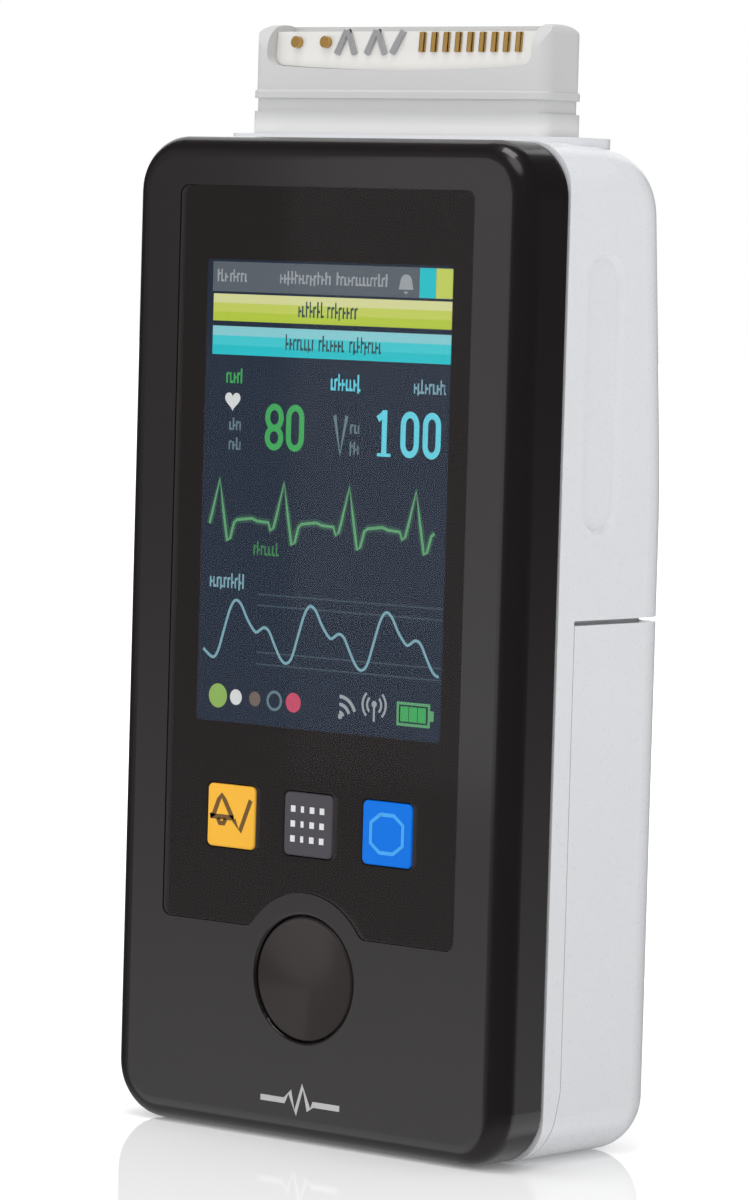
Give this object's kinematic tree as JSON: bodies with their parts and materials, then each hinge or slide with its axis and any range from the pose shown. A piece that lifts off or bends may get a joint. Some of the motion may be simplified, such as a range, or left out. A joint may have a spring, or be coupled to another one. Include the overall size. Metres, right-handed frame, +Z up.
{
  "type": "patient monitor",
  "caption": "Hand-sized patient monitor: dark front shell with display, square keys and round button, white rear shell, hinged battery door and a cable port on top.",
  "frame": {"origin": "centre of the footprint, on the surface the monitor stands on", "axes": "+Z up, the display faces -Y, +X to the viewer's right when facing the display"},
  "size_m": [0.065, 0.0324, 0.1418],
  "materials": {
    "charcoal_shell": "moulded plastic with a clear gloss",
    "clear_window": "clear hard-coated window",
    "black_mask": "black ink behind the window",
    "lcd_glass": "dark slate display",
    "sheet_steel": "plain sheet metal",
    "amber_key": "satin key cap",
    "grey_key": "satin key cap",
    "blue_key": "satin key cap",
    "charcoal_button": "satin dished cap",
    "grey_rubber": "soft seal rubber",
    "circuit_board": "solder mask on glass-fibre laminate",
    "inner_plastic": "moulded structural plastic",
    "chip_plastic": "moulded black resin",
    "gold": "gold plate",
    "white_shell": "white semi-gloss moulded plastic",
    "white_door": "white semi-gloss moulded plastic",
    "port_plastic": "light grey moulded plastic",
    "port_insert": "white insulator",
    "cell_jacket": "plain metallic film, unmarked",
    "grey_latch": "grey moulded plastic"
  },
  "bodies": {
    "case": {"front_bezel": "charcoal_shell", "display_window": "clear_window", "window_mask": "black_mask", "lcd_panel": "lcd_glass", "backlight_tray": "sheet_steel", "keypad_membrane": "grey_rubber", "keypad_board": "circuit_board", "inner_frame": "inner_plastic", "main_board": "circuit_board", "radio_shield": "sheet_steel", "processor_shield": "sheet_steel", "board_chips": "chip_plastic", "speaker": "chip_plastic", "antenna": "gold", "rear_housing": "white_shell", "case_gasket": "grey_rubber", "port_block": "port_plastic", "port_insulator": "port_insert", "port_contacts": "gold", "port_pins": "gold", "port_fingers": "sheet_steel", "port_seal": "grey_rubber", "port_board": "circuit_board", "battery_tray": "inner_plastic", "cell_1": "cell_jacket", "cell_2": "cell_jacket", "cell_3": "cell_jacket", "contact_springs": "sheet_steel", "contact_plates": "sheet_steel", "hinge_pin": "sheet_steel", "case_screws": "sheet_steel", "board_screws": "sheet_steel"},
    "battery_door": {"battery_door": "white_door", "latch_spring": "sheet_steel"},
    "door_latch": {"door_latch": "grey_latch"},
    "alarm_key": {"alarm_key": "amber_key"},
    "menu_key": {"menu_key": "grey_key"},
    "main_key": {"main_key": "blue_key"},
    "patient_button": {"patient_button": "charcoal_button"}
  },
  "joints": [
    {"name": "door_hinge", "type": "hinge", "parent": "case", "child": "battery_door", "pos_m": [0, 0.0142, 0.0653], "axis": [1, 0, 0], "range_deg": [0, 90]},
    {"name": "latch_slide", "type": "slide", "parent": "battery_door", "child": "door_latch", "axis": [0, 0, 1], "range_m": [0, 0.002], "stiffness_N_per_m": 300, "springref_m": -0.001, "deforming": ["latch_spring"]},
    {"name": "alarm_key_press", "type": "slide", "parent": "case", "child": "alarm_key", "axis": [0, 1, 0], "range_m": [0, 0.0004], "stiffness_N_per_m": 2500},
    {"name": "menu_key_press", "type": "slide", "parent": "case", "child": "menu_key", "axis": [0, 1, 0], "range_m": [0, 0.0004], "stiffness_N_per_m": 2500},
    {"name": "main_key_press", "type": "slide", "parent": "case", "child": "main_key", "axis": [0, 1, 0], "range_m": [0, 0.0004], "stiffness_N_per_m": 2500},
    {"name": "patient_button_press", "type": "slide", "parent": "case", "child": "patient_button", "axis": [0, 1, 0], "range_m": [0, 0.0008], "stiffness_N_per_m": 1500}
  ]
}
